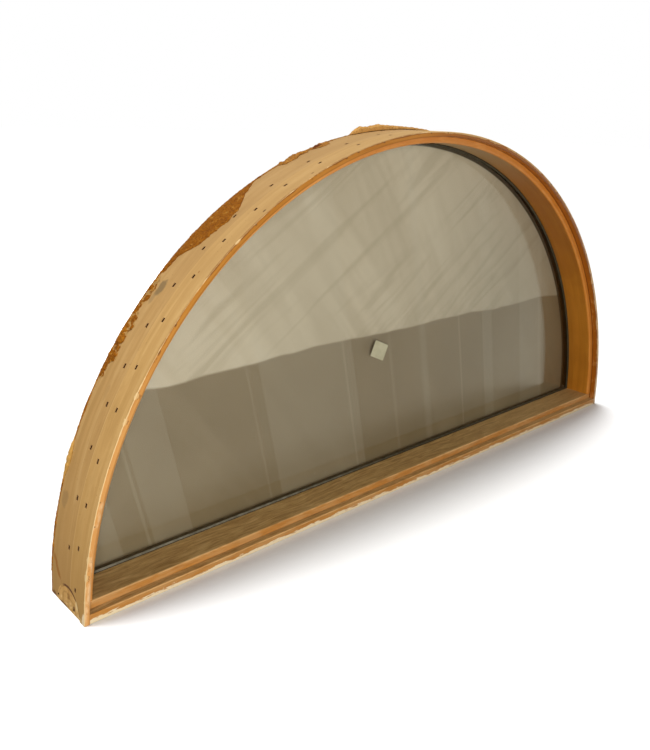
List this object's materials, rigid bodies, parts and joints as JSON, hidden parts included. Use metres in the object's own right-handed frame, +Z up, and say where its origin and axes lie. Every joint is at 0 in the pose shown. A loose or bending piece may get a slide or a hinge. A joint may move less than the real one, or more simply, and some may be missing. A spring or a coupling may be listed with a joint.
{
  "type": "arched window",
  "caption": "Half-round fixed arched window: bent wood jamb on a flat sill, stained stops, sealed glass unit, and aged mounting foam left on its outer edge.",
  "frame": {"origin": "middle of the sill's underside, halfway through the frame's depth", "axes": "+X along the sill, +Y from the room side to the weather side, +Z up; the room side faces -Y"},
  "size_m": [1.508, 0.116, 0.7234],
  "materials": {
    "frame_wood": "bare outside, stained on the room side, worn edges",
    "stained_wood": "clear-coated orange-brown stain",
    "exterior_wood": "weathered",
    "pane_glass": "clear, a little dusty",
    "spacer_metal": "dark bronze, matte",
    "black_sealant": "matte",
    "grey_sealant": "satin, aged",
    "block_rubber": "matte",
    "fastener_steel": "dull, tarnished",
    "sticker_paper": "blank, aged",
    "aged_foam": "crumbly, weathered orange-brown"
  },
  "bodies": {
    "root": {"arch_jamb": "frame_wood", "sill_board": "frame_wood", "arch_interior_stop": "stained_wood", "sill_interior_stop": "stained_wood", "arch_exterior_stop": "exterior_wood", "sill_exterior_stop": "exterior_wood", "inner_pane": "pane_glass", "outer_pane": "pane_glass", "spacer_bar": "spacer_metal", "edge_sealant": "black_sealant", "interior_seal": "grey_sealant", "exterior_seal": "grey_sealant", "setting_blocks": "block_rubber", "edge_blocks": "block_rubber", "arch_stop_nails": "fastener_steel", "corner_nails": "fastener_steel", "glass_sticker": "sticker_paper", "foam_lower_left": "aged_foam", "foam_upper_left": "aged_foam", "foam_shoulder": "aged_foam", "foam_crown": "aged_foam"}
  },
  "joints": []
}
